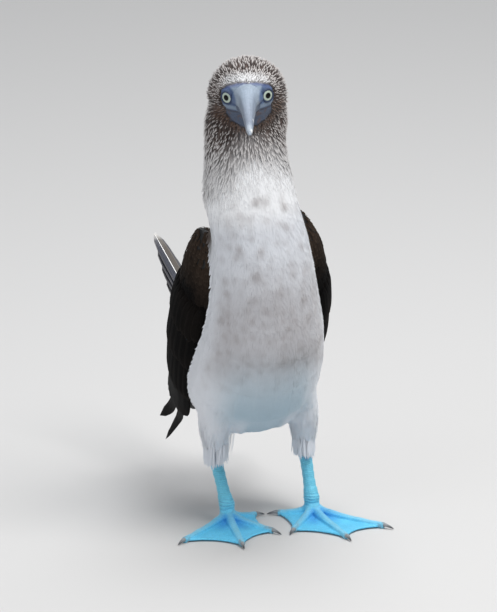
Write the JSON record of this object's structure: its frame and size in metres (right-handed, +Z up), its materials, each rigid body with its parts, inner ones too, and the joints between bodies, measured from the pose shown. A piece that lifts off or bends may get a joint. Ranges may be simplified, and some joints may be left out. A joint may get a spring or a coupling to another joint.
{
  "type": "blue-footed booby, life-size still model",
  "caption": "Life-size still model of a blue-footed booby standing upright on its webbed feet, wings folded and tail cocked.",
  "frame": {"origin": "on the floor under the middle of the bird's box", "axes": "+Z up, the bird faces -Y, its left side is +X"},
  "size_m": [0.2128, 0.4862, 0.4838],
  "materials": {
    "white_feathers": "soft white feathers with a faint grey-brown mottle",
    "streaked_feathers": "narrow brown feathers with pale tips",
    "brown_feathers": "blackish-brown vanes with a dull sheen",
    "tail_feathers": "brown vanes, grey-white at the centre, pale shafts",
    "blue_skin": "sky-blue scaly skin, slightly waxy",
    "bill_horn": "pale blue-grey horn, satin, with small nicks",
    "claw_horn": "grey horn, satin",
    "eye": "wet, pale yellow-green iris with a dark rim and a black pupil"
  },
  "bodies": {
    "root": {"bill_lower": "bill_horn", "bill_upper": "bill_horn", "claw_left_hallux": "claw_horn", "claw_left_inner": "claw_horn", "claw_left_middle": "claw_horn", "claw_left_outer": "claw_horn", "claw_right_hallux": "claw_horn", "claw_right_inner": "claw_horn", "claw_right_middle": "claw_horn", "claw_right_outer": "claw_horn", "eye_left": "eye", "eye_right": "eye", "foot_left": "blue_skin", "foot_right": "blue_skin", "head": "streaked_feathers", "neck": "streaked_feathers", "tail": "tail_feathers", "tarsus_left": "blue_skin", "tarsus_right": "blue_skin", "thigh_left": "white_feathers", "thigh_right": "white_feathers", "torso": "white_feathers", "wing_left": "brown_feathers", "wing_right": "brown_feathers"}
  },
  "joints": []
}
